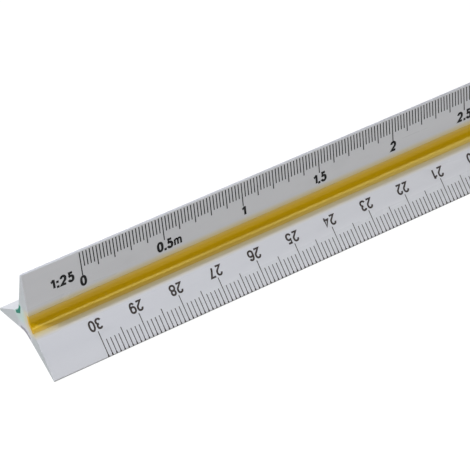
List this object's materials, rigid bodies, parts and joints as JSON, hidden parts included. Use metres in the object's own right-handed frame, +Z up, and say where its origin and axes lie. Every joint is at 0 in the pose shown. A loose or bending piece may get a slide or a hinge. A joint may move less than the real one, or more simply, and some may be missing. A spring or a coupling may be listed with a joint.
{
  "type": "triangular scale ruler",
  "caption": "Triangular drafting scale: a Y-shaped white plastic extrusion with wedge blades and a coloured strip let into each valley.",
  "frame": {"origin": "bottom centre of the bounding box: midway along the ruler, on the surface that its two lower drawing edges stand on", "axes": "+X along the ruler, from the end by the 1:25 mark to the other end; +Y to the back; +Z up, along the upright blade"},
  "size_m": [0.327, 0.0248, 0.0216],
  "materials": {
    "body": "satin-gloss white plastic",
    "yellow_strip": "satin-gloss yellow plastic",
    "grey_strip": "satin-gloss light grey plastic, a guess from the little that shows of its sawn end",
    "green_strip": "satin-gloss green plastic",
    "scale_ink": "printed black ink"
  },
  "bodies": {
    "root": {"body": "body", "yellow_valley_strip": "yellow_strip", "grey_valley_strip": "grey_strip", "green_valley_strip": "green_strip"}
  },
  "joints": []
}
